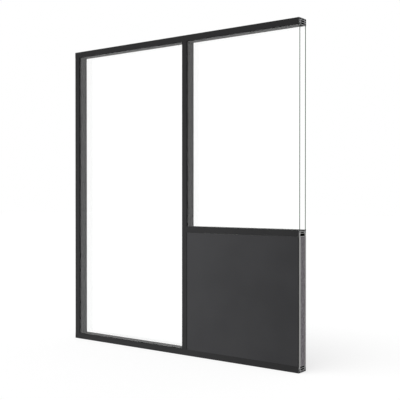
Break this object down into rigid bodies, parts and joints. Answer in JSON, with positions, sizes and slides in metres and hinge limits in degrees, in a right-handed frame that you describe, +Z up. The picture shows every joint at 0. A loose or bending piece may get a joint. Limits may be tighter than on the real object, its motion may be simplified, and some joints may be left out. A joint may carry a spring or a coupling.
{
  "type": "office partition wall",
  "caption": "Office partition wall of black extruded frame sections with clear double glazing over a solid lower panel, fixed to floor, ceiling and side wall.",
  "frame": {"origin": "underside of the floor track, at the middle of the wall's length and thickness", "axes": "+X along the wall from the wall post to the sawn end, +Y through the wall from front to back, +Z up"},
  "size_m": [2.414, 0.108, 2.7],
  "materials": {
    "frame_coating": "fine matt black powder coat on extruded aluminium",
    "mill_aluminium": "plain mill finish",
    "glazing": "clear toughened float glass with polished edges",
    "gasket_rubber": "matt black rubber",
    "seal_foam": "dark closed-cell foam",
    "block_plastic": "moulded black plastic",
    "panel_facing": "smooth dark grey laminate",
    "board_core": "pale gypsum board",
    "mineral_wool": "grey mineral wool slab"
  },
  "bodies": {
    "root": {"floor_cover_back": "frame_coating", "floor_cover_front": "frame_coating", "floor_rail": "frame_coating", "floor_seals": "seal_foam", "floor_track": "mill_aluminium", "glass_setting_blocks": "block_plastic", "head_cover_back": "frame_coating", "head_cover_front": "frame_coating", "head_rail": "frame_coating", "head_seals": "seal_foam", "head_track": "mill_aluminium", "left_gaskets_back": "gasket_rubber", "left_gaskets_front": "gasket_rubber", "left_glass_back": "glazing", "left_glass_front": "glazing", "mullion": "frame_coating", "mullion_cover_back": "frame_coating", "mullion_cover_front": "frame_coating", "panel_board_back": "board_core", "panel_board_front": "board_core", "panel_core": "mineral_wool", "panel_edge_trim_back": "frame_coating", "panel_edge_trim_front": "frame_coating", "panel_facing_back": "panel_facing", "panel_facing_front": "panel_facing", "panel_gaskets": "gasket_rubber", "panel_inner_board": "board_core", "right_gaskets_back": "gasket_rubber", "right_gaskets_front": "gasket_rubber", "right_glass_back": "glazing", "right_glass_front": "glazing", "transom": "frame_coating", "transom_cover_back": "frame_coating", "transom_cover_front": "frame_coating", "wall_post": "frame_coating", "wall_post_cover_back": "frame_coating", "wall_post_cover_front": "frame_coating", "wall_seals": "seal_foam", "wall_track": "mill_aluminium"}
  },
  "joints": []
}
